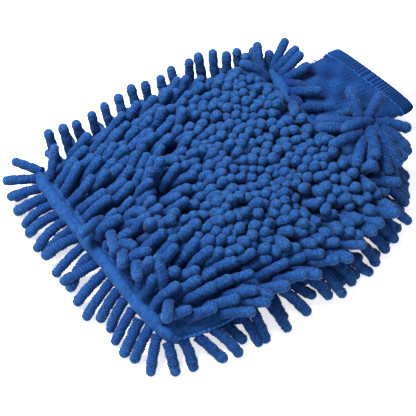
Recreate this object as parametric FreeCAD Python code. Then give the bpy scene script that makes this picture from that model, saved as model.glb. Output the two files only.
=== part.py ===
"""Chenille wash mitt: a flat pocket of cloth with noodle pile on both faces and
an elastic rib-knit cuff.  X runs from the finger end to the cuff, Y across the
hand, Z up.  The mitt lies on its lower pile at z = 0.  Millimetres."""
import FreeCAD, Part
import math
import os

V = FreeCAD.Vector

# ---- driving dimensions -----------------------------------------------------
# Pocket, seen from above.  The thumb side is towards -Y.
FINGER_END_X = -119.0
WRIST_X = 78.0
NEAR_Y = -96.5
FAR_Y = 84.5
NEAR_CURVE_X = 30.0         # the near side starts to round in to the shoulder here
SHOULDER_X = 108.0
SHOULDER_Y = -42.0
NOTCH_Y = -31.5             # inner side of the near shoulder, beside the cuff
FAR_CURVE_X = 40.0
FAR_CORNER_Y = 60.0
CORNER_R = 12.0

# Cloth layers.
BASE_Z = 13.0               # underside of the lower base cloth
CLOTH_T = 1.4
LINING_T = 0.8
LAYER_GAP = 0.4
CROWN_Z = 28.0              # underside of the upper base cloth at its highest line
CROWN_Y = -6.0
CROWN_DROP = 6.0            # how far the upper cloth falls at its sides
CROWN_HALF = 91.0
SEAM_W = 2.6
STRIP_T = 3.0
WRIST_ROLL_R = 2.8          # the turned-over cloth along the wrist end
WRIST_ROLL_X = 75.5

# Chenille noodles.
NOODLE_R = 3.8
NOODLE_LENGTH = 28.0
NOODLE_PITCH = 9.6          # along a row
ROW_PITCH = 12.2
ROW_FIRST_X = -107.0
ROWS = 15
LEAN = 31.0                 # degrees up from the cloth
TAPE_T = 1.6
TAPE_W = 5.0
ROOT_SINK = 1.2             # how far a noodle's root sits in its tape

# Gathered lump on the near shoulder, beside the cuff.
GATHER_X = 92.0
GATHER_Y = -50.0
GATHER_R = 17.0
GATHER_H = 9.0
GATHER_CORE_R = 7.0

# Fringes: noodles that hang out from the seams.
FRINGE_PITCH = 8.6
FRINGE_Z = 14.0
FRINGE_DROOP = 28.0         # lower layer
FRINGE_RAISE = 2.0          # upper layer
FRINGE_CORD_R = 2.0
CLEARANCE = 0.5             # between a hinged fringe and the seam beside it

# Cuff.
CUFF_Y = 13.5
CUFF_Z = 21.0
CUFF_HALF_FLAT = 29.5       # straight half of the flattened tube
CUFF_R = 11.0               # outer radius at the folded edges
KNIT_T = 1.4
WRIST_HINGE_X = 88.0
WELT_START_X = 130.0
HEM_X = 146.0
WELT_LEAF_T = 1.0
ELASTIC_T = 1.0
SEAM_BAND_T = 1.2
SEAM_BAND_GAP = 0.4
NECK_HALF = 4.3             # half thickness of the wrist neck between the two panels

AXIS_L = NOODLE_LENGTH - 2 * NOODLE_R
CROWN_R = (CROWN_HALF ** 2 + CROWN_DROP ** 2) / (2 * CROWN_DROP)

solids = {}


def box(x0, x1, y0, y1, z0, z1):
    """A box between two corners."""
    return Part.makeBox(x1 - x0, y1 - y0, z1 - z0, V(x0, y0, z0))


# ---- pocket outline ---------------------------------------------------------
def near_y(x):
    """The near edge of the pocket at this x: straight, then rounding in."""
    r = ((SHOULDER_X - NEAR_CURVE_X) ** 2 + (SHOULDER_Y - NEAR_Y) ** 2) / (2 * (SHOULDER_Y - NEAR_Y))
    if x <= NEAR_CURVE_X:
        return NEAR_Y
    return NEAR_Y + r - math.sqrt(r * r - (x - NEAR_CURVE_X) ** 2)


def far_y(x):
    """The far edge of the pocket at this x."""
    rise = FAR_Y - FAR_CORNER_Y
    r = ((WRIST_X - FAR_CURVE_X) ** 2 + rise ** 2) / (2 * rise)
    if x <= FAR_CURVE_X:
        return FAR_Y
    return FAR_Y - r + math.sqrt(r * r - (x - FAR_CURVE_X) ** 2)


def outline(inset, z0, z1):
    """The pocket's plan, moved in by inset, as a slab from z0 to z1."""
    k = CORNER_R * (1 - math.sqrt(0.5))
    near = NEAR_Y + inset
    far = FAR_Y - inset
    tip = FINGER_END_X + inset
    wrist = WRIST_X - inset
    notch_x = SHOULDER_X - 4 - inset
    mid_near = (NEAR_CURVE_X + SHOULDER_X) / 2
    mid_far = (FAR_CURVE_X + WRIST_X) / 2
    edges = [
        Part.Arc(V(tip, near + CORNER_R, z0), V(tip + k, near + k, z0), V(tip + CORNER_R, near, z0)),
        Part.LineSegment(V(tip + CORNER_R, near, z0), V(NEAR_CURVE_X, near, z0)),
        Part.Arc(V(NEAR_CURVE_X, near, z0), V(mid_near - inset / 2, near_y(mid_near) + inset, z0),
                 V(SHOULDER_X - inset, SHOULDER_Y, z0)),
        Part.LineSegment(V(SHOULDER_X - inset, SHOULDER_Y, z0), V(notch_x, NOTCH_Y - inset, z0)),
        Part.LineSegment(V(notch_x, NOTCH_Y - inset, z0), V(wrist, NOTCH_Y - inset, z0)),
        Part.LineSegment(V(wrist, NOTCH_Y - inset, z0), V(wrist, FAR_CORNER_Y - inset, z0)),
        Part.Arc(V(wrist, FAR_CORNER_Y - inset, z0), V(mid_far - inset / 2, far_y(mid_far) - inset, z0),
                 V(FAR_CURVE_X, far, z0)),
        Part.LineSegment(V(FAR_CURVE_X, far, z0), V(tip + CORNER_R, far, z0)),
        Part.Arc(V(tip + CORNER_R, far, z0), V(tip + k, far - k, z0), V(tip, far - CORNER_R, z0)),
        Part.LineSegment(V(tip, far - CORNER_R, z0), V(tip, near + CORNER_R, z0)),
    ]
    wire = Part.Wire([edge.toShape() for edge in edges])
    return Part.Face(wire).extrude(V(0, 0, z1 - z0))


def crown_z(y, above=0.0):
    """Height of the upper cloth's underside at this y, plus a parallel offset."""
    r = CROWN_R + above
    return CROWN_Z - CROWN_R + math.sqrt(r * r - (y - CROWN_Y) ** 2)


def crown(above):
    """Everything below the upper cloth's underside, offset upwards by above."""
    r = CROWN_R + above
    centre = V(-200, CROWN_Y, CROWN_Z - CROWN_R)
    drum = Part.makeCylinder(r, 400, centre, V(1, 0, 0))
    drum.rotate(centre, V(1, 0, 0), 140)        # its seam line is kept away from the cloth
    return drum


# ---- noodles ----------------------------------------------------------------
def capsule(radius, length):
    """A round-ended rod along +X with its end centres at 0 and length."""
    profile = Part.Wire([
        Part.Arc(V(-radius, 0, 0), V(-radius * math.sqrt(0.5), radius * math.sqrt(0.5), 0),
                 V(0, radius, 0)).toShape(),
        Part.LineSegment(V(0, radius, 0), V(length, radius, 0)).toShape(),
        Part.Arc(V(length, radius, 0), V(length + radius * math.sqrt(0.5), radius * math.sqrt(0.5), 0),
                 V(length + radius, 0, 0)).toShape(),
        Part.LineSegment(V(length + radius, 0, 0), V(-radius, 0, 0)).toShape(),
    ])
    return Part.Face(profile).revolve(V(0, 0, 0), V(1, 0, 0), 360)


NOODLE = capsule(NOODLE_R, AXIS_L)


def noodle(x, y, z, heading, lift):
    """One noodle from its root: heading in plan, lift above the horizontal."""
    turn = FreeCAD.Rotation(V(0, 0, 1), heading).multiply(FreeCAD.Rotation(V(0, 1, 0), -lift))
    one = NOODLE.copy()
    one.Placement = FreeCAD.Placement(V(x, y, z), turn)
    return one


def joined(pieces):
    """The pieces fused into one solid."""
    whole = pieces[0].multiFuse(pieces[1:])
    assert len(whole.Solids) == 1, len(whole.Solids)
    return whole.Solids[0]


def lattice(y0, y1, row):
    """Noodle positions along a row; every second row is shifted by half a pitch."""
    shift = NOODLE_PITCH / 2 if row % 2 else 0.0
    first = math.ceil((y0 - shift) / NOODLE_PITCH)
    last = math.floor((y1 - shift) / NOODLE_PITCH)
    return [shift + NOODLE_PITCH * k for k in range(first, last + 1)]


# ---- base cloth -------------------------------------------------------------
# Woven polyester base cloth, one panel above and one below the hand.
upper = crown(CLOTH_T).cut(crown(0.0))
solids["top_base_cloth"] = outline(0, BASE_Z, CROWN_Z + 20).common(upper)
solids["bottom_base_cloth"] = outline(0, BASE_Z, BASE_Z + CLOTH_T)

# Thin lining inside each panel, so that the stitches don't catch the fingers.
lining_in = SEAM_W + LAYER_GAP
floor_z = BASE_Z + CLOTH_T + LAYER_GAP
neck_clear = box(WRIST_X - 9, SHOULDER_X + 9, NOTCH_Y - 9, FAR_CORNER_Y + 9, 0, 60)
solids["bottom_lining"] = outline(lining_in, floor_z, floor_z + LINING_T).cut(neck_clear)
under = crown(-LAYER_GAP).cut(crown(-LAYER_GAP - LINING_T))
solids["top_lining"] = outline(lining_in, BASE_Z, CROWN_Z + 20).common(under).cut(neck_clear)

# Seam allowances: the two panels turned in and sewn together along each side.
wall = outline(0, BASE_Z + CLOTH_T, CROWN_Z + 20).cut(outline(SEAM_W, BASE_Z, CROWN_Z + 30))
wall = wall.common(crown(0.0))
mid_y = (NEAR_Y + FAR_Y) / 2
finger_zone = box(FINGER_END_X - 5, FINGER_END_X + SEAM_W, NEAR_Y - 5, FAR_Y + 5, 0, 60)
wrist_gap = box(WRIST_X - SEAM_W - 1, WRIST_X + 1, NOTCH_Y, FAR_CORNER_Y - 2, 0, 60)
sides = wall.cut(finger_zone).cut(wrist_gap)
solids["near_side_seam"] = sides.common(box(-200, 200, -200, mid_y, 0, 60))
solids["far_side_seam"] = sides.common(box(-200, 200, mid_y, 200, 0, 60))

# Bare strip of base cloth that closes the finger end.
strip = box(FINGER_END_X - STRIP_T, FINGER_END_X, NEAR_Y + CORNER_R, FAR_Y - CORNER_R, BASE_Z, 60)
strip = strip.common(crown(CLOTH_T))
solids["finger_end_strip"] = strip

# The same cloth turned over into a plump roll along the wrist end of the upper panel.
wrist_roll = capsule(WRIST_ROLL_R, FAR_CORNER_Y - NOTCH_Y - 12)
wrist_roll.Placement = FreeCAD.Placement(
    V(WRIST_ROLL_X, NOTCH_Y + 6, CROWN_Z + CLOTH_T + 1.2), FreeCAD.Rotation(V(0, 0, 1), 90))
solids["wrist_end_roll"] = wrist_roll.cut(crown(CLOTH_T))

# ---- pile -------------------------------------------------------------------
# Each row is one chenille strip: its noodles and the tape they are sewn by.
for row in range(ROWS):
    x = ROW_FIRST_X + ROW_PITCH * row
    low = near_y(x) + NOODLE_R + 1.5
    high = far_y(x) - NOODLE_R - 1.5
    places = lattice(low, high, row)
    lift = TAPE_T - ROOT_SINK + NOODLE_R

    tape = box(x - TAPE_W / 2, x + TAPE_W / 2, places[0] - 3, places[-1] + 3, BASE_Z, 60)
    tape = tape.common(crown(CLOTH_T + TAPE_T)).cut(crown(CLOTH_T))
    pile = [noodle(x, y, crown_z(y, CLOTH_T) + lift, 0, LEAN) for y in places]
    solids["top_noodle_row_%02d" % (row + 1)] = joined([tape] + pile)

    tape = box(x - TAPE_W / 2, x + TAPE_W / 2, places[0] - 3, places[-1] + 3, BASE_Z - TAPE_T, BASE_Z)
    pile = [noodle(x, y, BASE_Z - lift, 0, -LEAN) for y in places]
    pressed = joined([tape] + pile).cut(box(-200, 200, -200, 200, -60, 0))
    solids["bottom_noodle_row_%02d" % (row + 1)] = pressed

# ---- near shoulder ----------------------------------------------------------
# The spare width of both panels is gathered into a lump beside the cuff.
ball_r = (GATHER_R ** 2 + GATHER_H ** 2) / (2 * GATHER_H)
foot_z = crown_z(GATHER_Y, CLOTH_T)
lump = Part.makeSphere(ball_r, V(GATHER_X, GATHER_Y, foot_z + GATHER_H - ball_r))
lump = lump.common(outline(2.0, 20, 60)).cut(crown(CLOTH_T))
solids["shoulder_gather"] = lump

# Six noodles spread from its top towards the near side and the cuff.
top_z = foot_z + GATHER_H
core = Part.makeCylinder(GATHER_CORE_R, 2.0, V(GATHER_X, GATHER_Y, top_z + 0.1))
rays = []
for angle in (-95, -67, -39, -11, 17, 45):
    root_x = GATHER_X + 6 * math.cos(math.radians(angle))
    root_y = GATHER_Y + 6 * math.sin(math.radians(angle))
    rays.append(noodle(root_x, root_y, top_z + NOODLE_R - 0.1, angle, 3))
solids["shoulder_noodles"] = joined([core] + rays)


# ---- fixed fringes ----------------------------------------------------------
def fixed_fringe(stations):
    """Noodles sewn into a curved seam: two layers along the given stations.
    A station is x, y and the outward heading."""
    pieces = []
    last = None
    out = CLEARANCE / 2 + NOODLE_R
    for i, (x, y, heading) in enumerate(stations):
        cx = x + out * math.cos(math.radians(heading))
        cy = y + out * math.sin(math.radians(heading))
        lift = FRINGE_RAISE if i % 2 else -FRINGE_DROOP
        pieces.append(noodle(cx, cy, FRINGE_Z, heading, lift))
        if last:
            step = V(cx - last[0], cy - last[1], 0)
            before = V(last[0], last[1], FRINGE_Z)
            pieces.append(Part.makeCylinder(FRINGE_CORD_R, step.Length, before, step))
        last = (cx, cy)
    return joined(pieces)


def arc_stations(cx, cy, r, a0, a1, count):
    """Stations evenly spaced on an arc, heading outwards."""
    found = []
    for i in range(count):
        a = a0 + (a1 - a0) * i / (count - 1)
        found.append((cx + r * math.cos(math.radians(a)), cy + r * math.sin(math.radians(a)), a))
    return found


near_r = ((SHOULDER_X - NEAR_CURVE_X) ** 2 + (SHOULDER_Y - NEAR_Y) ** 2) / (2 * (SHOULDER_Y - NEAR_Y))
solids["near_shoulder_fringe"] = fixed_fringe(
    arc_stations(NEAR_CURVE_X, NEAR_Y + near_r, near_r, -85, -22, 18))
far_rise = FAR_Y - FAR_CORNER_Y
far_r = ((WRIST_X - FAR_CURVE_X) ** 2 + far_rise ** 2) / (2 * far_rise)
solids["far_shoulder_fringe"] = fixed_fringe(
    arc_stations(FAR_CURVE_X, FAR_Y - far_r, far_r, 80, 30, 10))
solids["near_corner_noodles"] = fixed_fringe(
    arc_stations(FINGER_END_X + CORNER_R, NEAR_Y + CORNER_R, CORNER_R, 215, 240, 2))
solids["far_corner_noodles"] = fixed_fringe(
    arc_stations(FINGER_END_X + CORNER_R, FAR_Y - CORNER_R, CORNER_R, 145, 120, 2))


# ---- hinged fringes ---------------------------------------------------------
def straight_fringe(start, end, heading):
    """Two staggered layers of noodles on one cord, which is their hinge line."""
    run = end.sub(start)
    count = int(run.Length // (FRINGE_PITCH / 2)) + 1
    pieces = [Part.makeCylinder(FRINGE_CORD_R, run.Length, start, run)]
    for i in range(count):
        at = start.add(V(run).multiply(i / (count - 1)))
        lift = FRINGE_RAISE if i % 2 else -FRINGE_DROOP
        pieces.append(noodle(at.x, at.y, at.z, heading, lift))
    return joined(pieces)


side_out = CLEARANCE + NOODLE_R
finger_x = FINGER_END_X - STRIP_T - side_out
solids["finger_fringe"] = straight_fringe(
    V(finger_x, NEAR_Y + 15, FRINGE_Z), V(finger_x, FAR_Y - 9, FRINGE_Z), 180)
solids["near_side_fringe"] = straight_fringe(
    V(FINGER_END_X + 16, NEAR_Y - side_out, FRINGE_Z),
    V(NEAR_CURVE_X - 1, NEAR_Y - side_out, FRINGE_Z), -90)
solids["far_side_fringe"] = straight_fringe(
    V(FINGER_END_X + 16, FAR_Y + side_out, FRINGE_Z),
    V(FAR_CURVE_X - 1, FAR_Y + side_out, FRINGE_Z), 90)


# ---- wrist seam -------------------------------------------------------------
def pill(radius):
    """A round-ended cylinder across the wrist, about the wrist's bending line."""
    rod = capsule(radius, 2 * CUFF_HALF_FLAT)
    start = V(WRIST_HINGE_X, CUFF_Y - CUFF_HALF_FLAT, CUFF_Z)
    rod.Placement = FreeCAD.Placement(start, FreeCAD.Rotation(V(0, 0, 1), 90))
    return rod


def tube_slab(radius, x0, x1):
    """A length of flattened tube: two round edges joined by flats."""
    y0 = CUFF_Y - CUFF_HALF_FLAT
    y1 = CUFF_Y + CUFF_HALF_FLAT
    wire = Part.Wire([
        Part.LineSegment(V(x0, y0, CUFF_Z + radius), V(x0, y1, CUFF_Z + radius)).toShape(),
        Part.Arc(V(x0, y1, CUFF_Z + radius), V(x0, y1 + radius, CUFF_Z),
                 V(x0, y1, CUFF_Z - radius)).toShape(),
        Part.LineSegment(V(x0, y1, CUFF_Z - radius), V(x0, y0, CUFF_Z - radius)).toShape(),
        Part.Arc(V(x0, y0, CUFF_Z - radius), V(x0, y0 - radius, CUFF_Z),
                 V(x0, y0, CUFF_Z + radius)).toShape(),
    ])
    return Part.Face(wire).extrude(V(x1 - x0, 0, 0))


# Folded seam allowance at the wrist: it lies inside the cuff's root, so that the
# cuff can bend about it without a gap.
band_r = CUFF_R - KNIT_T - SEAM_BAND_GAP
band_in = band_r - SEAM_BAND_T
neck_in = NECK_HALF - 0.8
band = pill(band_r).cut(pill(band_in))
neck = tube_slab(NECK_HALF, WRIST_X - 7, WRIST_HINGE_X - band_in + 2)
band = band.fuse(neck)
band = band.cut(tube_slab(neck_in, WRIST_X - 9, WRIST_HINGE_X))
band = band.cut(tube_slab(band_in * 0.8, WRIST_HINGE_X, WRIST_HINGE_X + 20))
solids["wrist_seam_band"] = band.removeSplitter()

# ---- cuff -------------------------------------------------------------------
# Rib-knit tube, open from end to end for the hand.
knit_in = CUFF_R - KNIT_T
knit = tube_slab(CUFF_R, WRIST_HINGE_X - 0.5, WELT_START_X - 0.2)
solids["cuff_knit"] = knit.cut(tube_slab(knit_in, WRIST_HINGE_X - 5, WELT_START_X + 5))

# Hem band: a strip of ribbing folded over the elastic.
leaf_out = CUFF_R + 1.4
leaf_in = leaf_out - 2 * WELT_LEAF_T - ELASTIC_T - 0.2
hem_fold = HEM_X - WELT_LEAF_T
welt = tube_slab(leaf_out, WELT_START_X, HEM_X).cut(tube_slab(leaf_in, WELT_START_X - 5, HEM_X + 5))
groove = tube_slab(leaf_out - WELT_LEAF_T, WELT_START_X - 5, hem_fold)
groove = groove.cut(tube_slab(leaf_in + WELT_LEAF_T, WELT_START_X - 6, hem_fold + 1))
solids["cuff_welt"] = welt.cut(groove)
elastic_out = leaf_out - WELT_LEAF_T - 0.1
elastic = tube_slab(elastic_out, WELT_START_X + 1, hem_fold - 0.1)
solids["cuff_elastic"] = elastic.cut(tube_slab(elastic_out - ELASTIC_T, WELT_START_X - 5, HEM_X))

# Overlock thread: round the root of the hem band and along the cuff's far edge.
thread = tube_slab(CUFF_R + 1.0, WELT_START_X - 2.6, WELT_START_X - 0.2)
solids["hem_overlock_thread"] = thread.cut(tube_slab(CUFF_R, 0, 200))
edge_y = CUFF_Y + CUFF_HALF_FLAT + CUFF_R
seam = capsule(1.1, WELT_START_X - 12 - WRIST_HINGE_X)
seam.Placement = FreeCAD.Placement(V(WRIST_HINGE_X + 7, edge_y + 0.9, CUFF_Z), FreeCAD.Rotation())
solids["cuff_side_overlock"] = seam.cut(tube_slab(CUFF_R, 0, 200))

# ---- place and write --------------------------------------------------------
# The origin is under the middle of the mitt's bounding box, on the ground.
whole = Part.makeCompound(list(solids.values())).BoundBox
shift = V(-(whole.XMin + whole.XMax) / 2, -(whole.YMin + whole.YMax) / 2, 0)
os.makedirs("parts", exist_ok=True)
for name, shape in solids.items():
    assert len(shape.Solids) == 1 and shape.isValid(), (name, len(shape.Solids), shape.isValid())
    moved = shape.Solids[0].copy()
    moved.translate(shift)
    moved.exportStep("parts/%s.step" % name)
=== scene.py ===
import bpy
import math
import numpy as np
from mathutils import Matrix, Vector, kdtree


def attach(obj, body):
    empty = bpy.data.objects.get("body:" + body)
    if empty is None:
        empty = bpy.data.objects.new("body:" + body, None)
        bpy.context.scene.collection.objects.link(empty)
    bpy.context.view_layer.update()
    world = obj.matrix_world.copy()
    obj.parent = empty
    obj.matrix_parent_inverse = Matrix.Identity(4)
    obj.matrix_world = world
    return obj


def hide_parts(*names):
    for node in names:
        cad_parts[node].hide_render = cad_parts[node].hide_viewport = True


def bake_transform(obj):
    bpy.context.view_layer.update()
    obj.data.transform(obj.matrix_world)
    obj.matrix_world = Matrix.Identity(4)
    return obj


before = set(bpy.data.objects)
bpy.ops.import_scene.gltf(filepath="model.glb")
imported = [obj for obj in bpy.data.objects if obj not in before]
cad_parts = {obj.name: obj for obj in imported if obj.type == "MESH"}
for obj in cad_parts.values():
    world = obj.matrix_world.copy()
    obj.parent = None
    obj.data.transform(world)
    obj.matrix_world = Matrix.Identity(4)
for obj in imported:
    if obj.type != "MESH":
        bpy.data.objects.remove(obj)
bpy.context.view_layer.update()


# ---- Base cloth -------------------------------------------------------------
# Two panels of brushed polyester knit, sewn together round three sides into a
# flat pocket.  Every chenille strip is stitched to them; the cloth itself only
# shows at the finger end, at the wrist and between the noodles of the edges.
BODY = "mitt_body"
MM = 0.001                  # lengths here are in millimetres, and meshes in metres
rng = np.random.default_rng(7)
MID_Z = 18.0                # height of the side seams
WRIST_X = 80.2              # where the pocket's mouth ends
NAP_DEPTH = 0.0006          # how deep the bump of any of the cloths goes, in metres
CLOTH_THICKNESS = 1.3


def linear(hex_colour):
    """An sRGB hex colour as linear RGBA."""
    parts = [int(hex_colour[i:i + 2], 16) / 255 for i in (1, 3, 5)]
    return tuple(c / 12.92 if c <= 0.04045 else ((c + 0.055) / 1.055) ** 2.4 for c in parts) + (1.0,)


def add_node(tree, kind, values=(), links=(), **settings):
    """Adds a shader node with its settings, its input values and its incoming links,
    each link given as (input, source node, source output)."""
    node = tree.nodes.new(kind)
    for key, value in settings.items():
        setattr(node, key, value)
    for key, value in dict(values).items():
        node.inputs[key].default_value = value
    for into, source, out in links:
        tree.links.new(source.outputs[out], node.inputs[into])
    return node


def cloth_material(name, dark, light, speck_mm, bump_mm, rough, sheen, bump=0.5, valley_shade=None):
    """Matt textile: colour mottled between two tones, fine bump and a soft sheen.
    With a valley colour, painted shade darkens it towards that colour where the per-point shade value
    stored on the mesh is low."""
    material = bpy.data.materials.new(name)
    material.use_nodes = True
    tree = material.node_tree
    tree.nodes.clear()
    where = add_node(tree, "ShaderNodeTexCoord")
    mottle = add_node(tree, "ShaderNodeTexNoise",
                      {"Scale": 1000 / speck_mm, "Detail": 2.0, "Roughness": 0.6},
                      [("Vector", where, "Object")])
    tones = add_node(tree, "ShaderNodeMapRange", {"From Min": 0.38, "From Max": 0.62},
                     [("Value", mottle, "Fac")])
    colour = add_node(tree, "ShaderNodeMix", {6: linear(dark), 7: linear(light)},
                      [("Factor", tones, "Result")], data_type="RGBA")
    # Painted shade: the colour is mixed towards the valley colour where the stored shade value is low.
    if valley_shade:
        relief_shade = add_node(tree, "ShaderNodeAttribute", attribute_name="relief_shade")
        colour = add_node(tree, "ShaderNodeMix", {6: linear(valley_shade)},
                          [("Factor", relief_shade, "Fac"), (7, colour, 2)], data_type="RGBA")
    grain = add_node(tree, "ShaderNodeTexNoise", {"Scale": 1000 / bump_mm, "Detail": 3.0},
                     [("Vector", where, "Object")])
    pitted = add_node(tree, "ShaderNodeBump", {"Strength": bump, "Distance": NAP_DEPTH},
                      [("Height", grain, "Fac")])
    shader = add_node(tree, "ShaderNodeBsdfPrincipled", {
        "Roughness": rough, "IOR": 1.45, "Specular IOR Level": 0.15, "Sheen Weight": sheen,
        "Sheen Roughness": 0.4, "Sheen Tint": linear("#B4C6DE")},
        [("Base Color", colour, 2), ("Normal", pitted, "Normal")])
    add_node(tree, "ShaderNodeOutputMaterial", links=[("Surface", shader, "BSDF")])
    return material


def make_piece(name, verts, faces, material, body=BODY, relief_shade=None):
    """A smooth mesh from points in millimetres, riding on one body."""
    mesh = bpy.data.meshes.new(name)
    mesh.from_pydata((np.asarray(verts) * MM).tolist(), [], [tuple(f) for f in faces])
    mesh.materials.append(material)
    # The per-point painted shade, stored on the mesh for its material to read.
    if relief_shade is not None:
        layer = mesh.attributes.new("relief_shade", "FLOAT", "POINT")
        layer.data.foreach_set("value", np.clip(relief_shade, 0, 1).astype(np.float32))
    mesh.polygons.foreach_set("use_smooth", [True] * len(mesh.polygons))
    mesh.update()
    piece = bpy.data.objects.new(name, mesh)
    bpy.context.scene.collection.objects.link(piece)
    if body:
        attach(piece, body)
    return piece


# Base cloth: short-napped knit, as matt as the pile but smoother and more even.
base_cloth = cloth_material("base_cloth", "#10366A", "#194680", speck_mm=3.0, bump_mm=0.9,
                            rough=0.85, sheen=0.08)


def edge_outline(count):
    """The pocket's seam line in plan, anticlockwise from the finger end's near corner."""
    marks = np.array([
        (-116.8, -62.0), (-114.0, -75.0), (-108.0, -83.0), (-96.0, -87.5), (-80.0, -90.0),
        (-60.0, -91.0), (-10.0, -90.8), (32.0, -90.3), (56.0, -85.0), (78.0, -73.5),
        (94.0, -58.0), (105.0, -42.0), (107.0, -31.0), (100.0, -22.0), (88.0, -19.0),
        (WRIST_X, -14.0), (WRIST_X, 20.0), (WRIST_X, 54.0), (79.0, 66.0), (70.0, 76.0),
        (56.0, 83.5), (42.0, 88.5), (0.0, 90.5), (-50.0, 90.8), (-104.8, 90.5),
        (-113.3, 87.0), (-116.8, 78.5), (-117.2, 45.0), (-116.8, 0.0), (-117.0, -45.0)])
    steps = np.linalg.norm(np.roll(marks, -1, axis=0) - marks, axis=1)
    reach = np.concatenate([[0], np.cumsum(steps)])
    closed = np.vstack([marks, marks[:1]])
    at = np.linspace(0, reach[-1], count, endpoint=False)
    line = np.stack([np.interp(at, reach, closed[:, 0]), np.interp(at, reach, closed[:, 1])], axis=1)
    for _ in range(6):
        line = 0.5 * line + 0.25 * (np.roll(line, 1, axis=0) + np.roll(line, -1, axis=0))
    return line


def swell(x, y, cx, cy, height, sx, sy):
    """A soft hump at one place."""
    return height * np.exp(-((x - cx) / sx) ** 2 - ((y - cy) / sy) ** 2)


def top_z(x, y):
    """Height of the upper cloth: a shallow crown with the sags and humps of a limp mitt."""
    z = 28.0 - (y / 37.0) ** 2
    z = z + swell(x, y, 15, -16, -5.0, 26, 20)
    z = z + swell(x, y, -75, 20, -2.0, 25, 40)
    z = z + swell(x, y, -40, 60, 2.0, 40, 20)
    z = z + swell(x, y, 70, 30, 2.0, 22, 30)
    z = z + swell(x, y, 98, -28, 13.0, 14, 15)
    z = z + 1.0 * np.sin(x / 13.0 + 0.6) * np.sin(y / 17.0)
    return z


def bottom_z(x, y):
    """Height of the lower cloth, nearly flat over the pressed pile."""
    return 13.0 + 0.5 * np.sin(x / 19.0) * np.cos(y / 23.0)


def panel(name, height, inset, offset, thickness, material):
    """One cloth panel: rings from the middle out to the seam line, closed at the seam
    but left open at the wrist, with real thickness."""
    rings, count = 26, 260
    line = edge_outline(count)
    centre = np.array([-5.0, 0.0])
    opening = np.exp(-(np.maximum(np.abs(line[:, 1] - 20.0) - 34.0, 0) / 7.0) ** 2)
    opening = opening * (line[:, 0] > 70)
    sheets = []
    for side in (0.0, 1.0):
        for i in range(rings + 1):
            s = (i / rings) ** 0.75
            flat = centre + (line - centre) * s * (1 - inset / 95.0)
            z = height(flat[:, 0], flat[:, 1]) + offset
            close = max(0.0, 1 - s ** 14) ** 0.5
            close = close + (1 - close) * opening
            sheets.append(np.column_stack([flat, MID_Z + (z - MID_Z) * close - side * thickness]))
    half = (rings + 1) * count
    faces = []
    for side in (0, 1):
        for i in range(rings):
            for j in range(count):
                a = side * half + i * count + j
                b = side * half + i * count + (j + 1) % count
                quad = (a, a + count, b + count, b)
                faces.append(quad if side == 0 else quad[::-1])
    rim = rings * count
    for j in range(count):
        k = (j + 1) % count
        faces.append((rim + j, half + rim + j, half + rim + k, rim + k))
    faces.append(tuple(range(count))[::-1])
    faces.append(tuple(range(half, half + count)))
    return make_piece(name, np.vstack(sheets), faces, material)


top_panel = panel("top_panel_cloth", top_z, 0.0, 0.0, CLOTH_THICKNESS, base_cloth)
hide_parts("top_base_cloth", "shoulder_gather")
bottom_panel = panel("bottom_panel_cloth", bottom_z, 0.0, CLOTH_THICKNESS, CLOTH_THICKNESS,
                     base_cloth)
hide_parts("bottom_base_cloth")

# ---- Lining -----------------------------------------------------------------
# Smooth woven polyester inside each panel; it keeps the stitches off the hand
# and is caught in the same seams.
LINING_INSET = 4.0          # how far it stays inside the panel's edge
LINING_THICKNESS = 0.8

# Lining: smoother, lighter and a little shinier than the knit, with almost no nap.
lining_cloth = cloth_material("lining_cloth", "#1F4F93", "#285EA6", speck_mm=5.0, bump_mm=1.2,
                              rough=0.7, sheen=0.15, bump=0.25)
top_lining = panel("top_lining_cloth", top_z, LINING_INSET, -2.0, LINING_THICKNESS, lining_cloth)
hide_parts("top_lining")
bottom_lining = panel("bottom_lining_cloth", bottom_z, LINING_INSET, 2.6, LINING_THICKNESS,
                      lining_cloth)
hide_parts("bottom_lining")


# ---- Side seams and rolled ends ---------------------------------------------
# The panels' edges are overlocked together along both sides.  At the finger end
# and at the wrist the cloth is turned over into a plump bare roll.
def smooth_path(points, count):
    """Evenly spaced points on a smooth curve through a few chosen ones."""
    points = np.array(points, dtype=float)
    ends = np.vstack([2 * points[0] - points[1], points, 2 * points[-1] - points[-2]])
    t = np.linspace(0, 1, 16, endpoint=False)[:, None]
    fine = []
    for p0, p1, p2, p3 in zip(ends, ends[1:], ends[2:], ends[3:]):
        fine.append(0.5 * (2 * p1 + (p2 - p0) * t + (2 * p0 - 5 * p1 + 4 * p2 - p3) * t ** 2
                           + (3 * p1 - p0 - 3 * p2 + p3) * t ** 3))
    fine = np.vstack(fine + [points[-1:]])
    reach = np.concatenate([[0], np.cumsum(np.linalg.norm(np.diff(fine, axis=0), axis=1))])
    at = np.linspace(0, reach[-1], count)
    return np.stack([np.interp(at, reach, fine[:, k]) for k in range(3)], axis=1)


def frames_along(path):
    """Tangent and two normals at each point, turning as little as possible."""
    tangent = np.gradient(path, axis=0)
    tangent /= np.linalg.norm(tangent, axis=1)[:, None]
    first = np.cross(tangent[0], (0.0, 0.0, 1.0) if abs(tangent[0][2]) < 0.9 else (1.0, 0.0, 0.0))
    side = [first / np.linalg.norm(first)]
    for t in tangent[1:]:
        s = side[-1] - t * np.dot(side[-1], t)
        side.append(s / np.linalg.norm(s))
    side = np.array(side)
    return tangent, side, np.cross(tangent, side)


def tube_faces(rings, sides, offset=0):
    """Faces of a closed tube of so many rings whose points start at offset."""
    faces = []
    for i in range(rings - 1):
        for j in range(sides):
            k = (j + 1) % sides
            a = offset + i * sides
            faces.append((a + j, a + k, a + sides + k, a + sides + j))
    faces.append(tuple(range(offset, offset + sides))[::-1])
    end = offset + (rings - 1) * sides
    faces.append(tuple(range(end, end + sides)))
    return faces


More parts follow.
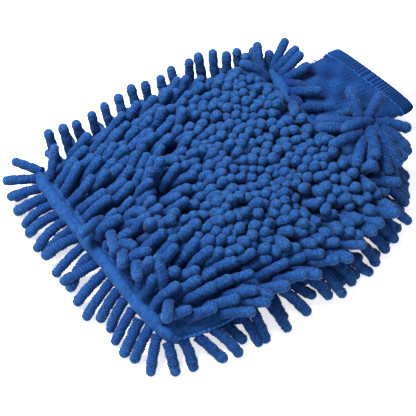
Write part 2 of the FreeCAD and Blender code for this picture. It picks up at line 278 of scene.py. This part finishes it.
def tube(path, radius, sides):
    """Points and faces of a closed tube along a path; radius may vary along it."""
    path = np.asarray(path, dtype=float)
    radius = np.broadcast_to(radius, (len(path),))
    _, side, up = frames_along(path)
    angle = np.linspace(0, 2 * math.pi, sides, endpoint=False)[None, :, None]
    spokes = side[:, None, :] * np.cos(angle) + up[:, None, :] * np.sin(angle)
    verts = (path[:, None, :] + spokes * radius[:, None, None]).reshape(-1, 3)
    return verts, tube_faces(len(path), sides)


def roll(name, marks, radius, *nodes):
    """A soft roll of base cloth through the given points, uneven as turned cloth is."""
    path = smooth_path(marks, 150)
    along = np.linspace(0, 1, 150)
    taper = np.clip(np.minimum(along, 1 - along) * 14, 0.03, 1) ** 0.5
    lumpy = 1 + 0.07 * np.sin(along * 31 + 1) + 0.05 * np.sin(along * 77)
    verts, faces = tube(path, radius * taper * lumpy, 24)
    piece = make_piece(name, verts, faces, base_cloth)
    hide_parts(*nodes)


roll("finger_end_roll", [
    (-112, 91, 16), (-116.5, 84, 19), (-117.5, 60, 20), (-117.5, 25, 20.5), (-116.8, -10, 21),
    (-116.2, -45, 20.5), (-113.5, -68, 19), (-109.5, -79, 16), (-102, -86, 12.5)],
    5.0, "finger_end_strip")
roll("wrist_end_cloth_roll", [
    (86, 74, 20), (82.5, 65, 27), (77, 50, 31), (71, 33, 32), (69, 16, 30), (74, 0, 29), (86, -13, 33),
    (97, -25, 38.5), (104, -36, 35), (107, -46, 22)], 5.4, "wrist_end_roll")

# Sewing thread: twisted polyester, a shade lighter and slightly shinier than the cloth.
thread = cloth_material("sewing_thread", "#123F80", "#2058A2", speck_mm=2.0, bump_mm=0.8,
                        rough=0.6, sheen=0.1)


def overlock(name, line, z, *nodes):
    """An overlocked edge: thread wound round the edge in slanting loops."""
    along = np.arange(len(line))
    path = np.column_stack([line, z + 0.8 * np.sin(along * 1.9)])
    verts, faces = tube(path, 1.1 * (1 + 0.25 * np.sin(along * 1.9 + 1.0)), 8)
    piece = make_piece(name, verts, faces, thread)
    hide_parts(*nodes)


seam_line = edge_outline(700)
around = np.arctan2(seam_line[:, 1], seam_line[:, 0] + 5)
seam_line = seam_line[np.argsort(around)]
body_side = seam_line[:, 0] > -112
overlock("near_side_overlock", seam_line[body_side & (seam_line[:, 1] < -25)], MID_Z, "near_side_seam")
overlock("far_side_overlock", seam_line[body_side & (seam_line[:, 1] > 62)], MID_Z, "far_side_seam")

# ---- Chenille noodles -------------------------------------------------------
# Chenille yarn: a twisted core with a dense microfibre nap, cut to about 27 mm
# and caught in the sewing tape of its row.  It is limp but springy, so each
# noodle leans on the ones around it.  That packing is worked out here: every
# noodle is a chain of balls held at its root, bent towards the way it was
# combed, kept at its length, and pushed off its neighbours, the cloth and the floor.
LENGTH = 26.5
RADIUS = 3.85
LINKS = 7                   # balls in one noodle's chain
SEWN_IN = 1.0               # how far above the cloth a noodle's root starts
noodles = []                # one dictionary for each noodle


def heading_vector(heading, lift):
    """A direction from its heading in plan and its lift, in degrees."""
    h, e = math.radians(heading), math.radians(lift)
    return np.array([math.cos(h) * math.cos(e), math.sin(h) * math.cos(e), math.sin(e)])


def add_noodle(group, root, heading, lift, end_lift=None, end_heading=None, length=LENGTH,
               radius=RADIUS, layer="fringe", stiff=0.08):
    """Notes one noodle: where it is sewn and how it was combed."""
    end_lift = lift if end_lift is None else end_lift
    end_heading = heading if end_heading is None else end_heading
    step = (length - radius) / (LINKS - 1)
    chain = [np.array(root, dtype=float)]
    for k in range(LINKS - 1):
        t = k / (LINKS - 2)
        way = heading_vector(heading + (end_heading - heading) * t, lift + (end_lift - lift) * t)
        chain.append(chain[-1] + way * step)
    noodles.append({"group": group, "chain": np.array(chain), "radius": radius,
                    "layer": layer, "step": step, "stiff": stiff})


# How the upper pile lies, as (x, y, reach, heading, lift, crowding): flat lanes swept
# towards the cuff at the finger end and the sides, crowded and on end past the middle.
TOP_COMBING = [
    (-102, 68, 28, 8, 14, 0.0), (-72, 71, 26, -2, 20, 0.1), (-44, 75, 26, 2, 24, 0.2),
    (-18, 74, 24, 6, 28, 0.3), (9, 76, 24, 18, 38, 0.5), (30, 72, 22, -60, 46, 0.9),
    (49, 64, 22, -110, 44, 1.0), (-106, 40, 30, -6, 12, 0.0), (-108, 0, 26, -18, 12, 0.0),
    (-110, -40, 26, -8, 14, 0.0), (-100, -72, 20, -26, 10, 0.0), (-86, 46, 22, -4, 18, 0.1),
    (-62, 45, 20, 16, 26, 0.2), (-36, 36, 22, -8, 28, 0.5), (-68, 22, 12, 62, 40, 0.4),
    (-75, 0, 14, -125, 50, 0.9), (-50, 0, 16, -46, 18, 0.4), (-18, 22, 24, -80, 40, 0.8),
    (-2, 45, 24, -80, 42, 0.8), (16, 45, 22, -110, 44, 1.0), (37, 46, 24, -120, 44, 1.0),
    (47, 11, 28, -125, 46, 1.0), (47, -14, 26, -125, 48, 1.0), (19, -46, 24, -115, 46, 1.0),
    (7, -16, 14, -70, 24, 0.6), (-26, -38, 22, -118, 46, 1.0), (-89, -34, 22, -14, 18, 0.2),
    (-58, -36, 22, -24, 30, 0.5), (-80, -68, 20, -12, 12, 0.0), (-50, -70, 20, -26, 12, 0.0),
    (-22, -72, 18, -40, 14, 0.1), (20, -74, 18, -58, 12, 0.2), (48, -58, 18, -105, 38, 0.8),
    (60, -72, 16, -70, 12, 0.2), (74, -34, 18, -150, 28, 0.5), (-60, -84, 12, -40, 6, 0.0),
    (0, -84, 14, -60, 4, 0.0), (40, -83, 14, -66, 4, 0.0), (72, -72, 14, -62, 4, 0.0),
    (86, -58, 14, -56, 4, 0.0),
]
CAD_ROWS = 15
ROW_PITCH = 12.2
LANE_PITCH = 9.6            # between the lanes of the lying noodles
PLACE_STEP = 7.2            # along a lane; the lying noodles use every second place
FIRST_ROW = -104.8
seam = edge_outline(400)


def combing(x, y):
    """Heading, lift and crowding of the upper pile at one place."""
    total = np.zeros(5)
    for cx, cy, reach, heading, lift, crowding in TOP_COMBING:
        weight = math.exp(-((x - cx) ** 2 + (y - cy) ** 2) / reach ** 2) + 1e-9
        total += weight * np.array([*heading_vector(heading, lift), crowding, 1.0])
    way = total[:3] / np.linalg.norm(total[:3])
    heading, lift = math.degrees(math.atan2(way[1], way[0])), math.degrees(math.asin(way[2]))
    return heading, lift, total[3] / total[4]


def edge_gap(x, y):
    """Distance to the seam line, negative outside it."""
    near = np.min(np.hypot(seam[:, 0] - x, seam[:, 1] - y))
    a, b = seam, np.roll(seam, -1, axis=0)
    cross = (a[:, 1] > y) != (b[:, 1] > y)
    slope = (b[cross, 0] - a[cross, 0]) / (b[cross, 1] - a[cross, 1])
    x_at = a[cross, 0] + (y - a[cross, 1]) * slope
    return near if np.sum(x_at > x) % 2 else -near


# Lying noodles fill the even lanes, staggered from lane to lane.  The half lanes and
# the places between are used only where the pile is crowded.
for lane in range(-18, 19):
    for place in range(27):
        crowd_only = lane % 2 != 0 or place % 2 != (lane // 2) % 2
        if lane % 2 == 0 and place < 2:
            crowd_only = place == 1     # every lane starts right at the rolled end
        luck = rng.random()
        x = FIRST_ROW - 6.5 + PLACE_STEP * place + rng.normal(0, 0.8)
        y = 0.5 * LANE_PITCH * lane + rng.normal(0, 0.6)
        under_wrist_roll = x > 62 and y > -16
        on_shoulder_lump = math.hypot(x - 97, y + 28) < 14
        if edge_gap(x, y) < 3.5 or under_wrist_roll or on_shoulder_lump:
            continue
        heading, lift, crowding = combing(x, y)
        if crowd_only and luck > crowding * (0.3 if lane % 2 else 1.0):
            continue
        lift += 22 * (1 - crowding) + rng.normal(0, 5 + 6 * crowding)
        end_lift = lift - 10 + 12 * crowding
        heading += rng.normal(0, 9 + 9 * crowding)
        end_heading = heading + rng.normal(0, 9 + 8 * crowding)
        row = min(max(round((x - FIRST_ROW) / ROW_PITCH), 0), CAD_ROWS - 1)
        add_noodle("top_chenille_row_%02d" % (row + 1), (x, y, top_z(x, y) + SEWN_IN), heading,
                   lift, end_lift, end_heading, LENGTH - 1.5 - 1.0 * crowding + rng.normal(0, 1.4),
                   RADIUS + rng.normal(0, 0.28), "top")

# A few noodles of the first rows flop back over the rolled end, heads outwards.
for x, y, heading, lift in [(-103, 20, -160, 26), (-103, -12, -128, 38), (-100, -24, -124, 32),
                            (-104, 8, -105, 24), (-101, -62, -128, 38), (-98, -52, 75, 50)]:
    add_noodle("top_chenille_row_01", (x, y, top_z(x, y) + 4), heading, lift, lift - 10, layer="loose",
               length=LENGTH - 1, stiff=0.25)

# Lower pile: the same strips, pressed flat by the mitt's weight.
for row in range(CAD_ROWS):
    x_row = FIRST_ROW + ROW_PITCH * row
    shift = 4.2 if row % 2 else 0.0
    for y in np.arange(-84 + shift, 86, 8.6):
        if edge_gap(x_row, y) < 5.0:
            continue
        group = "bottom_chenille_row_%02d" % (row + 1)
        add_noodle(group, (x_row + rng.normal(0, 1.0), y, 11.0), rng.normal(8, 22), -22, 2,
                   rng.normal(0, 30), LENGTH + rng.normal(0, 1.2), RADIUS, "bottom")


# Fringes: the outermost noodles of both panels, hanging out past the seams.
def fringe(group, stations, lift, end_lift, z, length=LENGTH, spread=4.0):
    """Noodles sewn along a seam at stations (x, y, heading)."""
    for x, y, heading in stations:
        h = heading + rng.normal(0, spread)
        add_noodle(group, (x, y, z + rng.normal(0, 0.6)), h, lift + rng.normal(0, 5),
                   end_lift + rng.normal(0, 7), h + rng.normal(0, 8), length + rng.normal(0, 1.3),
                   RADIUS + rng.normal(0, 0.12), stiff=0.14)


finger_ys = np.linspace(80, -71, 18) + rng.normal(0, 0.9, 18)
finger_headings = np.interp(finger_ys, [-78, -65, -40, 0, 40, 65, 80],
                            [222, 214, 203, 190, 180, 166, 148])
finger_headings += 5.0 * np.sin(np.arange(18) * 1.9)
finger_stations = [(-120.0 if y > -60 else -117.0, y, h) for y, h in zip(finger_ys, finger_headings)]
fringe("finger_fringe_noodles", [s for s in finger_stations if s[1] > -20], 0, -46, 15.5, 31)
fringe("finger_fringe_noodles", [s for s in finger_stations if s[1] <= -20], -4, -60, 15, 26.5)
fringe("far_corner_fringe", [(-116, 86, 154), (-112, 90, 120)], 8, 12, 18, 25)
fringe("far_corner_fringe", [(-117, 82, 160)], -6, -30, 12)
fringe("near_corner_fringe", [(-114, -79, -112), (-105, -84, -92)], -4, -60, 14, 24.5)
fringe("near_side_fringe_noodles", [
    (-96, -86, -80), (-84, -88, -64), (-63, -89, -84), (-53, -90, -104), (-42, -90, -72),
    (-28, -90, -72), (-9, -90, -66), (4, -90, -72), (15, -90, -66), (26, -90, -66)],
    -6, -58, 15, 28)
fringe("near_side_fringe_noodles", [
    (-74, -86, -70), (-34, -87, -95), (-18, -87, -62), (-2, -87, -80), (10, -87, -60), (21, -87, -78)],
    -20, -40, 11, 22)
fringe("near_shoulder_fringe_noodles", [
    (38, -86, -68), (49, -84, -64), (59, -79.5, -66), (68, -75, -62), (77, -70, -62), (85, -63, -58),
    (92, -56, -58), (97, -49, -54), (101, -42, -52)], -4, -62, 17, 28)
fringe("near_shoulder_fringe_noodles", [
    (44, -83, -74), (56, -79, -60), (68, -73, -70), (80, -65, -50), (91, -53, -60)], -24, -30, 11, 24)
fringe("far_side_fringe_noodles", [(x, 91, 78) for x in np.linspace(-99, 34, 12)],
       58, 66, 18, 29, spread=7)
fringe("far_side_fringe_noodles", [(x, 91, 90) for x in np.linspace(-94, 30, 10)], -12, -8, 11)
fringe("far_shoulder_fringe_noodles", [
    (44, 89, 80), (53, 86, 76), (62, 81, 84), (70, 75, 60), (77, 69, 44)], 54, 58, 19, 24.5, spread=6)
fringe("far_shoulder_fringe_noodles", [(52, 85, 76), (68, 76, 60), (78, 67, 46)], -12, -8, 11)

# Noodles sewn beside the wrist roll: some fall back on the pile, some over the cuff.
for x, y, z, heading, lift, end_lift, end_heading in [
        (83, 67, 29, 30, 52, 40, 20), (81, 62, 33, 12, 24, 16, 4), (80, 56, 33, 6, 22, 18, 12),
        (79, 50, 34, -2, 8, 2, 4), (77, 45, 35, -20, 10, -40, -84), (73, 37, 36, -38, 8, -4, -30),
        (72, 32, 35, -70, 6, -50, -88), (70, 28, 34, -110, 30, 20, -122), (64, 62, 30, 96, 36, 58, 92),
        (66, 54, 32, 124, 6, 14, 100), (69, 44, 33, 142, 6, 4, 148), (70, 58, 33, 130, 30, 30, 110),
        (73, 66, 30, 84, 34, 40, 60), (64, 36, 32, -160, 30, 30, -150), (74, 20, 33, -30, 6, -30, -20),
        (74, 10, 31, -60, 10, -30, -40), (80, 0, 33, -20, 16, -30, 10), (68, 8, 31, -130, 34, 30, -125),
        (76, -10, 33, -150, 26, 10, -160)]:
    add_noodle("wrist_noodles", (x, y, z), heading + rng.normal(0, 3), lift, end_lift, end_heading,
               length=LENGTH, stiff=0.2)

# The gathered shoulder: noodles burst outwards from the lump of cloth.
for x, y, z, heading, lift, end_lift in [
        (102, -22, 42, 24, 18, -2), (97, -19, 42, 66, 16, 2), (105, -29, 41, -34, 4, -20),
        (104, -34, 40, -64, -4, -30), (101, -38, 40, -80, -6, -32), (97, -38, 40, -107, -6, -40),
        (91, -34, 40, -150, 6, -16), (89, -29, 42, -176, 16, 0), (89, -24, 42, 148, 6, -14),
        (92, -20, 41, 130, 4, -12), (98, -41, 33, -98, -6, -46), (106, -35, 33, -56, -8, -40),
        (94, -36, 42, -130, 0, -34), (100, -38, 41, -93, -4, -38), (86, -37, 34, -146, 4, -20),
        (84, -46, 30, -104, 2, -24), (97, -30, 41, -120, 10, -14), (101, -26, 42, 168, 16, 4)]:
    add_noodle("shoulder_burst_noodles", (x, y, z), heading + rng.normal(0, 3), lift, end_lift,
               length=LENGTH + (0 if x > 100 else 3), radius=RADIUS + 0.5, stiff=0.25)

# Packing.  In each round the balls that are too close part a little, each chain springs
# back towards the way it was combed and straightens, and its links get their length back.
ROUNDS = 150
SQUEEZE = 0.92              # soft nap lets neighbours sink into each other this far
PART = 0.35                 # share of a ball's overlap undone in one round
STRAIGHTEN = 0.35           # share of a bend undone in one round
LONGEST_MOVE = 1.2
LOWER_CLOTH_Z = 12.6        # underside of the lower cloth, over the pressed pile
count = len(noodles)
chain = np.stack([n["chain"] for n in noodles])
rest = chain - chain[:, :1]
radius = np.array([n["radius"] for n in noodles])
step = np.array([n["step"] for n in noodles])[:, None]
stiff = np.array([n["stiff"] for n in noodles])[:, None, None]
is_top = np.array([n["layer"] in ("top", "loose") for n in noodles])
is_bottom = np.array([n["layer"] == "bottom" for n in noodles])
owner = np.repeat(np.arange(count), LINKS)
ball = np.repeat(radius, LINKS)
hold = np.tile([0.0, 0.4] + [1.0] * (LINKS - 2), count)
for turn in range(ROUNDS):
    flat = chain.reshape(-1, 3)
    if turn % 5 == 0:
        tree = kdtree.KDTree(len(flat))
        for i, p in enumerate(flat):
            tree.insert(p, i)
        tree.balance()
        pairs = []
        for i, p in enumerate(flat):
            for _, j, _ in tree.find_range(p, 2 * RADIUS + 1.5):
                if j > i and owner[j] != owner[i] and (hold[i] or hold[j]):
                    pairs.append((i, j))
        pairs = np.array(pairs)
    a, b = pairs[:, 0], pairs[:, 1]
    gap = flat[b] - flat[a]
    far = np.linalg.norm(gap, axis=1) + 1e-6
    need = SQUEEZE * (ball[a] + ball[b]) - far
    move = gap / far[:, None] * (np.clip(need, 0, 2.0) * PART)[:, None]
    shove = np.zeros_like(flat)
    np.add.at(shove, a, -move * hold[a][:, None])
    np.add.at(shove, b, move * hold[b][:, None])
    flat = flat + np.clip(shove, -LONGEST_MOVE, LONGEST_MOVE)
    chain = flat.reshape(count, LINKS, 3)
    chain[:, 1:] += (chain[:, :1] + rest[:, 1:] - chain[:, 1:]) * stiff
    bend = 0.5 * (chain[:, :-2] + chain[:, 2:]) - chain[:, 1:-1]
    chain[:, 1:-1] += STRAIGHTEN * bend
    x, y, z = chain[..., 0], chain[..., 1], chain[..., 2]
    covered = (x > -114) & (x < 106) & (np.abs(y) < 89)
    floor_z = np.where(covered & is_top[:, None], top_z(x, y) + radius[:, None] * 0.9,
                       radius[:, None] * 1.05)
    roof_z = np.where(is_bottom[:, None], LOWER_CLOTH_Z - radius[:, None] * 0.9, 999.0)
    z = np.where(is_bottom[:, None], np.maximum(z, radius[:, None] * 1.05), np.maximum(z, floor_z))
    chain[:, 1:, 2] = np.minimum(z, roof_z)[:, 1:]
    for k in range(1, LINKS):
        way = chain[:, k] - chain[:, k - 1]
        way /= np.linalg.norm(way, axis=1)[:, None] + 1e-9
        chain[:, k] = chain[:, k - 1] + way * step

# Chenille: deep saturated blue; the nap is matt, painted shade darkens its rings in the valleys where
# the light doesn't reach and each noodle towards its root, under the noodles lying over it, and it is
# mottled because each tuft faces its own way.
chenille = cloth_material("chenille_nap", "#08346F", "#2A588D", speck_mm=1.2, bump_mm=0.7,
                          rough=0.9, sheen=0.15, bump=0.5, valley_shade="#001F59")

SIDES = 14                  # points round one noodle
RIBS = 13                   # rings of nap along it
SHAFT = 3 * RIBS + 1        # rings of points along its shaft
CAP = 5                     # rings of points over its round end
RING_HEIGHT = 0.10          # share of the radius
TUFT_HEIGHT = 0.045


def noodle_points(nodes, radius):
    """Points round one noodle, ribbed and tufted like chenille, and their painted shade: darker in the
    rib valleys, in low tufts and towards the root.
    """
    path = smooth_path(nodes, SHAFT)
    tangent, side, up = frames_along(path)
    cap_turn = np.linspace(0, math.pi / 2, CAP + 1)[1:] * 0.97
    path = np.vstack([path, path[-1] + tangent[-1] * (radius * np.sin(cap_turn))[:, None]])
    side = np.vstack([side, np.repeat(side[-1:], CAP, axis=0)])
    up = np.vstack([up, np.repeat(up[-1:], CAP, axis=0)])
    size = np.concatenate([np.full(SHAFT, radius), radius * np.cos(cap_turn)])
    along = np.arange(len(path))
    on_shaft = along < SHAFT
    crest = np.where(on_shaft, np.abs(np.sin(math.pi * along / 3)), 0.75)
    swollen = 0.05 * np.sin(along * 0.45 + rng.uniform(0, 6.3)) * on_shaft
    angle = np.linspace(0, 2 * math.pi, SIDES, endpoint=False)
    tuft = rng.normal(0, TUFT_HEIGHT, (len(path), SIDES))
    spread = size[:, None] * (0.91 + RING_HEIGHT * crest[:, None] + swollen[:, None] + tuft)
    across, upward = np.cos(angle)[None, :, None], np.sin(angle)[None, :, None]
    spokes = side[:, None, :] * across + up[:, None, :] * upward
    verts = path[:, None, :] + spokes * spread[..., None]
    # Painted shade: each noodle darkens towards its root, where the noodles lying over it shade it, and
    # in the valleys between its rings.
    root_shade = np.clip(along / SHAFT, 0, 1)[:, None]
    relief_shade = 0.38 * crest[:, None] + 0.55 * root_shade + 2.2 * tuft
    return verts.reshape(-1, 3), relief_shade.reshape(-1)


# Each group of noodles, with the body it moves with and the CAD nodes it stands for.
# The groups without a body are left unattached.
GROUPS = {
    "finger_fringe_noodles": ("finger_fringe_row", ["finger_fringe"]),
    "near_side_fringe_noodles": ("near_fringe_row", ["near_side_fringe"]),
    "far_side_fringe_noodles": (None, ["far_side_fringe"]),
    "near_shoulder_fringe_noodles": (BODY, ["near_shoulder_fringe"]),
    "far_shoulder_fringe_noodles": (BODY, ["far_shoulder_fringe"]),
    "near_corner_fringe": (BODY, ["near_corner_noodles"]),
    "far_corner_fringe": (BODY, ["far_corner_noodles"]),
    "shoulder_burst_noodles": (BODY, ["shoulder_noodles"]),
    "wrist_noodles": (None, []),
}
for row in range(1, CAD_ROWS + 1):
    for face in ("top", "bottom"):
        GROUPS["%s_chenille_row_%02d" % (face, row)] = (BODY, ["%s_noodle_row_%02d" % (face, row)])

for group, (body, nodes) in GROUPS.items():
    verts, noodle_shades, faces = [], [], []
    for n, points in zip(noodles, chain):
        if n["group"] == group:
            shape, relief_shade = noodle_points(points, n["radius"])
            faces += tube_faces(SHAFT + CAP, SIDES, len(verts) * len(shape))
            verts.append(shape)
            noodle_shades.append(relief_shade)
    piece = make_piece(group, np.vstack(verts), faces, chenille, body, np.concatenate(noodle_shades))
    if nodes:
        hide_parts(*nodes)
    if group == "wrist_noodles":
        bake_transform(piece)
    elif body is None:          # standing noodles are left unattached, their roots in the seam
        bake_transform(piece)

# ---- Wrist seam -------------------------------------------------------------
# The pocket's mouth is gathered on to the narrower cuff; the turned-in edge
# makes a soft ring just inside the cuff's root.
CUFF_Y = 19.5               # the cuff's middle
CUFF_Z = 21.5
HALF_FLAT = 40.5            # half its flat width


def cuff_ring(x, half_width, half_height, count, shear=0.0):
    """One ring of the flattened tube at x."""
    angle = np.linspace(0, 2 * math.pi, count, endpoint=False)
    c, s = np.cos(angle), np.sin(angle)
    y = CUFF_Y + half_width * np.sign(c) * np.abs(c) ** 0.75
    z = CUFF_Z + half_height * np.sign(s) * np.abs(s) ** 0.75
    return np.column_stack([x - (y - CUFF_Y) * shear, y, z])


def closed_band(outer, inner, name, material, body, relief_shade=None):
    """A tube wall between an outer and an inner set of rings, closed at both rims."""
    count = len(outer[0])
    half = len(outer) * count
    last = half - count
    faces = []
    for i in range(len(outer) - 1):
        for j in range(count):
            a = i * count + j
            b = i * count + (j + 1) % count
            faces.append((a, b, b + count, a + count))
            faces.append((half + a, half + a + count, half + b + count, half + b))
    for j in range(count):
        k = (j + 1) % count
        faces.append((k, j, half + j, half + k))
        faces.append((last + j, last + k, half + last + k, half + last + j))
    return make_piece(name, np.vstack(outer + inner), faces, material, body, relief_shade)


band_xs = np.linspace(74, 92, 10)
band_outer = [cuff_ring(x, 34.0, 7.4 - 0.02 * (x - 84) ** 2, 120) for x in band_xs]
band_inner = [cuff_ring(x, 32.8, 6.2 - 0.02 * (x - 84) ** 2, 120) for x in band_xs]
seam_ring = closed_band(band_outer, band_inner, "wrist_seam_allowance", base_cloth, BODY)
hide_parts("wrist_seam_band")

# ---- Cuff -------------------------------------------------------------------
# Fine rib-knit tube sewn into the pocket's mouth, relaxed and slightly creased.  Its hem is the same
# knit, folded over a band of elastic.
CUFF_ROOT_X = 82.0
TUCK = 1.5                  # how far the tube runs on inside the hem band
KNIT_THICKNESS = 1.2
RIB_DEPTH = 0.22
CREASE_DEPTH = 1.15

# Rib knit: the base cloth's blue with less sheen, darkened towards a valley colour by painted shade
# between its ribs and in its creases.
rib_knit = cloth_material("rib_knit", "#0B3670", "#154584", speck_mm=1.6, bump_mm=0.8,
                          rough=0.85, sheen=0.06, bump=0.6, valley_shade="#021740")
AROUND = 480                # points round the tube, five to a rib
RIB_WAVE = np.cos(np.arange(AROUND) * 2 * math.pi / 5)
HEM_SHEAR = 0.13            # the hem runs this much askew to the cuff
HEM_START_X = 135.0
HEM_END_X = 146.5


def cuff_size(t):
    """Half width and half height of the cuff from its root (0) to its hem (1)."""
    return HALF_FLAT + 0.6 * math.sin(t * 5), 9.8 - 4.2 * t


def creases(ring, t):
    """Slack diagonal creases of the relaxed knit, in millimetres."""
    along = ring[:, 0] - CUFF_ROOT_X
    across = ring[:, 1] - CUFF_Y
    fold = np.sin((across + 0.9 * along) / 4.6) + 0.7 * np.sin((across - 0.8 * along) / 3.3 + 1.0)
    return CREASE_DEPTH * fold * math.sin(math.pi * min(1.0, t * 1.02)) ** 0.5


def knit_ring(t, inward):
    """A ring of the knit tube: fine ribs and a few slack creases."""
    half_width, half_height = cuff_size(t)
    x = CUFF_ROOT_X + (HEM_START_X + TUCK - CUFF_ROOT_X) * t
    ring = cuff_ring(x, half_width - inward, half_height - inward, AROUND, HEM_SHEAR * t)
    angle = np.linspace(0, 2 * math.pi, AROUND, endpoint=False)
    ring[:, 2] += (creases(ring, t) + RIB_DEPTH * RIB_WAVE) * np.sin(angle)
    return ring


steps = np.linspace(0, 1, 70)
knit_outer = [knit_ring(t, 0.0) for t in steps]
knit_inner = [knit_ring(t, KNIT_THICKNESS) for t in steps]
# Painted shade on the knit: darker in the valleys between its ribs and in the hollows of its creases;
# the ribs' shade steps sideways every two rings, as the rows of loops do.
knit_relief_shade = np.concatenate([0.6 + 0.28 * RIB_WAVE * (1 - 2 * (i // 2 % 2)) + 0.2 * creases(ring, t)
                              for i, (t, ring) in enumerate(zip(steps, knit_outer))])
knit = closed_band(knit_outer, knit_inner, "cuff_knit_tube", rib_knit, None, np.tile(knit_relief_shade, 2))
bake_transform(knit)
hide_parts("cuff_knit")


def welt_ring(t, inward):
    """A ring of the hem band: plump ribs that run the short way across the band."""
    half_width, half_height = cuff_size(1.0)
    bulge = math.sin(math.pi * min(1, max(0, t * 0.9 + 0.08))) ** 0.5
    ring = cuff_ring(HEM_START_X + (HEM_END_X - HEM_START_X) * t, half_width + 1.3 * bulge - inward,
                     half_height + 1.3 * bulge - inward, AROUND, HEM_SHEAR)
    angle = np.linspace(0, 2 * math.pi, AROUND, endpoint=False)
    ribs = 0.55 * RIB_WAVE * math.sin(math.pi * min(1, t * 0.94 + 0.05)) ** 0.3
    ring[:, 1] += ribs * np.cos(angle)
    ring[:, 2] += ribs * np.sin(angle)
    ring[:, 0] += 3.0 * (1 - np.sin(angle)) * 0.5 * (ring[:, 1] > CUFF_Y) * t
    return ring


HEM_THICKNESS = 2.6
HEM_RINGS = 22
welt_outer = [welt_ring(t, 0.0) for t in np.linspace(0, 1, HEM_RINGS)]
welt_inner = [welt_ring(t, HEM_THICKNESS) for t in np.linspace(0, 1, HEM_RINGS)]
# Painted shade: the hem band is darker in the valleys between its ribs.
welt = closed_band(welt_outer, welt_inner, "cuff_hem_band", rib_knit, "cuff",
                   np.tile(0.5 + 0.5 * RIB_WAVE, 2 * HEM_RINGS))
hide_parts("cuff_welt")

# Elastic: a woven rubber tape sealed inside the folded band, off-white and satin.
elastic_look = cloth_material("elastic_tape", "#C9CBC8", "#DEDFDA", speck_mm=1.5, bump_mm=0.8,
                              rough=0.7, sheen=0.1, bump=0.3)


def elastic_ring(x, inward):
    """A ring of the elastic inside the band."""
    half_width, half_height = cuff_size(1.0)
    return cuff_ring(x, half_width - 0.6 - inward, half_height - 0.6 - inward, 120, HEM_SHEAR)


elastic_xs = np.linspace(HEM_START_X + 1.5, HEM_END_X - 2.0, 3)
elastic = closed_band([elastic_ring(x, 0.0) for x in elastic_xs],
                      [elastic_ring(x, 0.8) for x in elastic_xs],
                      "cuff_elastic_tape", elastic_look, "cuff")
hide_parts("cuff_elastic")

# Overlock round the root of the band, and loose thread ends along the far edge.
root = welt_ring(0.0, -0.3)
root[:, 0] += 0.5 * np.sin(np.arange(AROUND) * 0.9)
verts, faces = tube(np.vstack([root, root[:1]]), 0.45, 6)
hem_thread = make_piece("hem_overlock_stitches", verts, faces, thread, "cuff")
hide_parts("hem_overlock_thread")

verts, faces = [], []
for i in range(24):
    x = 96.0 + 2.0 * i
    edge = CUFF_Y + HALF_FLAT - 0.3
    root_x = x - HALF_FLAT * HEM_SHEAR * (x - CUFF_ROOT_X) / 50
    lean = rng.normal(0, 0.7)
    reach = 1.6 if i < 10 else 3.2 + rng.normal(0, 0.8)
    path = smooth_path([(root_x, edge - 1, CUFF_Z - 0.5),
                        (root_x + lean, edge + reach * 0.6, CUFF_Z + 0.8),
                        (root_x + 1.6 * lean, edge + reach, CUFF_Z + rng.normal(0, 0.6))], 8)
    v, f = tube(path, 0.38, 6)
    base = sum(len(q) for q in verts)
    verts.append(v)
    faces += [tuple(k + base for k in face) for face in f]
edge_thread = make_piece("cuff_edge_overlock_ends", np.vstack(verts), faces, thread, "cuff")
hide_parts("cuff_side_overlock")

# ---- Stage ------------------------------------------------------------------
# A plain white floor, broad soft light from above and behind, and the camera.

# White floor: matt and self-lit enough to read as plain white under the soft shadow.
floor_look = bpy.data.materials.new("white_floor")
floor_look.use_nodes = True
paint = floor_look.node_tree.nodes["Principled BSDF"]
paint.inputs["Base Color"].default_value = (0.95, 0.95, 0.95, 1)
paint.inputs["Roughness"].default_value = 0.9
paint.inputs["Emission Color"].default_value = (1, 1, 1, 1)
paint.inputs["Emission Strength"].default_value = 0.6
floor_mesh = bpy.data.meshes.new("floor")
floor_mesh.from_pydata([(-3, -3, 0), (3, -3, 0), (3, 3, 0), (-3, 3, 0)], [], [(0, 1, 2, 3)])
floor_mesh.materials.append(floor_look)
floor = bpy.data.objects.new("floor", floor_mesh)
bpy.context.scene.collection.objects.link(floor)

world = bpy.data.worlds.new("soft_sky")
world.use_nodes = True
world.node_tree.nodes["Background"].inputs["Color"].default_value = (1, 1, 1, 1)
world.node_tree.nodes["Background"].inputs["Strength"].default_value = 0.27
bpy.context.scene.world = world
bpy.context.scene.view_settings.view_transform = "Standard"


def softbox(name, place, size, watts):
    """A square area light aimed at the mitt."""
    data = bpy.data.lights.new(name, "AREA")
    data.size = size
    data.energy = watts
    lamp = bpy.data.objects.new(name, data)
    lamp.location = place
    lamp.rotation_mode = "QUATERNION"
    lamp.rotation_quaternion = (-Vector(place)).to_track_quat("-Z", "Y")
    bpy.context.scene.collection.objects.link(lamp)


softbox("key_softbox", (-0.30, 0.45, 1.0), 0.5, 30)
softbox("fill_softbox", (-0.5, -0.9, 0.7), 1.0, 5)

SENSOR = 36.0
HALF_ANGLE = 11.0           # half the camera's field of view, in degrees
CAMERA_DISTANCE = 0.7698
camera_data = bpy.data.cameras.new("camera")
camera_data.sensor_width = SENSOR
camera_data.lens = SENSOR / 2 / math.tan(math.radians(HALF_ANGLE))
camera = bpy.data.objects.new("camera", camera_data)
azimuth, elevation = math.radians(-35.0), math.radians(54.0)
back = np.array([math.sin(azimuth) * math.cos(elevation),
                 -math.cos(azimuth) * math.cos(elevation), math.sin(elevation)])
target = np.array([-0.03076, -0.0065, 0.018])
camera.location = target + back * CAMERA_DISTANCE
camera.rotation_euler = (math.pi / 2 - elevation, 0.0, azimuth)
bpy.context.scene.collection.objects.link(camera)
bpy.context.scene.camera = camera
